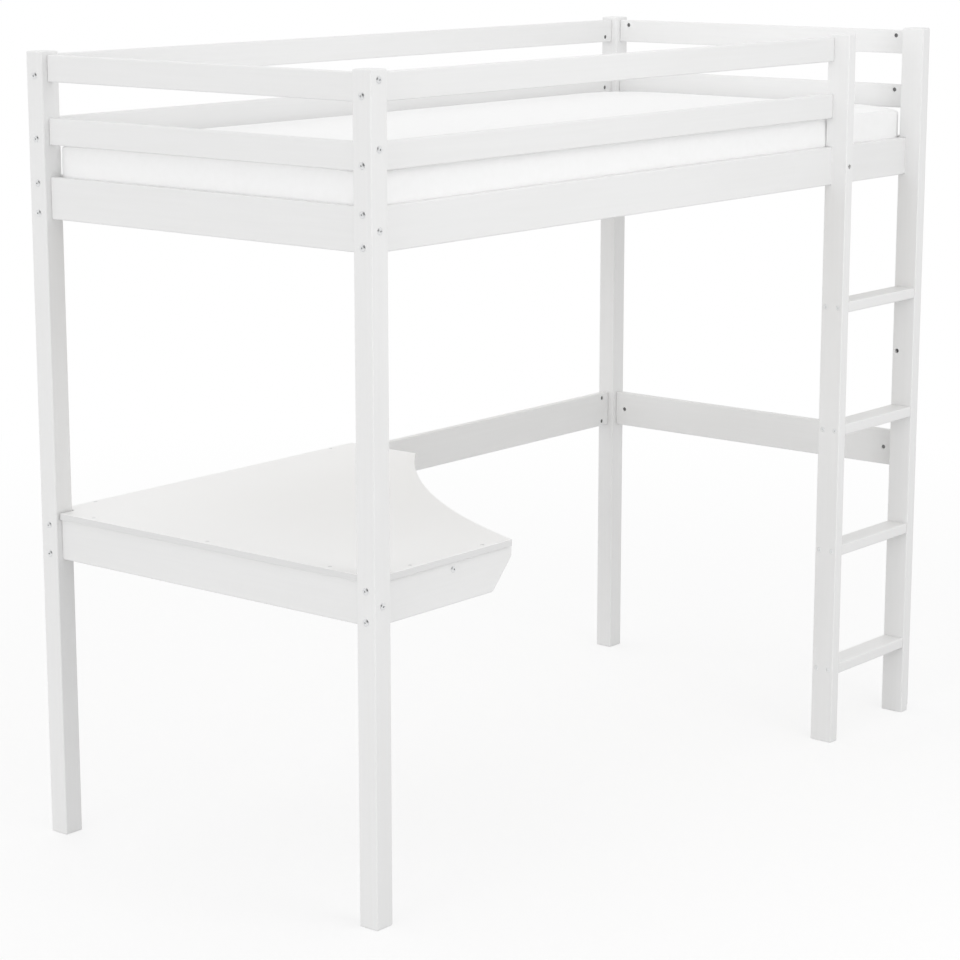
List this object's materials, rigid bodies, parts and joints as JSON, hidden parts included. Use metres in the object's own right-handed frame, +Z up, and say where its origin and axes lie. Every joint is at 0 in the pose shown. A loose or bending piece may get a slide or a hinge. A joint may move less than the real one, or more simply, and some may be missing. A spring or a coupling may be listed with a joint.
{
  "type": "loft bed",
  "caption": "White wooden loft bed for a child: guard rails round a slatted base with a lift-out mattress, a corner desk below and a ladder built into the front.",
  "frame": {"origin": "on the floor, at the middle of the bed's plan box", "axes": "+X along the bed from the desk end to the ladder end, +Y from the ladder's front to the back, +Z up"},
  "size_m": [2.081, 1.0026, 1.733],
  "materials": {
    "white_lacquered_pine": "satin",
    "white_desk_board": "satin",
    "bare_pine": "matte",
    "mattress_cover": "matte",
    "zinc_plated_steel": "satin"
  },
  "bodies": {
    "bed_frame": {"back_mid_guard": "white_lacquered_pine", "back_side_rail": "white_lacquered_pine", "back_top_guard": "white_lacquered_pine", "barrel_nuts": "zinc_plated_steel", "brace_bolts": "zinc_plated_steel", "cleat_screws": "zinc_plated_steel", "desk_cross_brace": "white_lacquered_pine", "desk_front_apron": "white_lacquered_pine", "desk_left_apron": "white_lacquered_pine", "desk_screws": "zinc_plated_steel", "desk_top": "white_desk_board", "end_rail_bolts": "zinc_plated_steel", "front_mid_guard": "white_lacquered_pine", "front_side_rail": "white_lacquered_pine", "front_top_guard": "white_lacquered_pine", "guard_stile_bolts": "zinc_plated_steel", "ladder_rung_1": "white_lacquered_pine", "ladder_rung_2": "white_lacquered_pine", "ladder_rung_3": "white_lacquered_pine", "ladder_rung_4": "white_lacquered_pine", "ladder_stile_left": "white_lacquered_pine", "ladder_stile_right": "white_lacquered_pine", "left_end_mid_guard": "white_lacquered_pine", "left_end_side_rail": "white_lacquered_pine", "left_end_top_guard": "white_lacquered_pine", "long_rail_bolts": "zinc_plated_steel", "lower_back_rail": "white_lacquered_pine", "lower_right_rail": "white_lacquered_pine", "post_back_left": "white_lacquered_pine", "post_back_right": "white_lacquered_pine", "post_front_left": "white_lacquered_pine", "post_front_right": "white_lacquered_pine", "right_end_mid_guard": "white_lacquered_pine", "right_end_side_rail": "white_lacquered_pine", "right_end_top_guard": "white_lacquered_pine", "rung_screws": "zinc_plated_steel", "slat_01": "bare_pine", "slat_02": "bare_pine", "slat_03": "bare_pine", "slat_04": "bare_pine", "slat_05": "bare_pine", "slat_06": "bare_pine", "slat_07": "bare_pine", "slat_08": "bare_pine", "slat_09": "bare_pine", "slat_10": "bare_pine", "slat_11": "bare_pine", "slat_12": "bare_pine", "slat_13": "bare_pine", "slat_14": "bare_pine", "slat_15": "bare_pine", "slat_cleat_back": "bare_pine", "slat_cleat_front": "bare_pine", "slat_screws": "zinc_plated_steel", "stile_screws": "zinc_plated_steel"},
    "mattress": {"mattress": "mattress_cover"}
  },
  "joints": [
    {"name": "mattress_lift", "type": "slide", "parent": "bed_frame", "child": "mattress", "axis": [0, 0, 1], "range_m": [0, 0.4]}
  ]
}
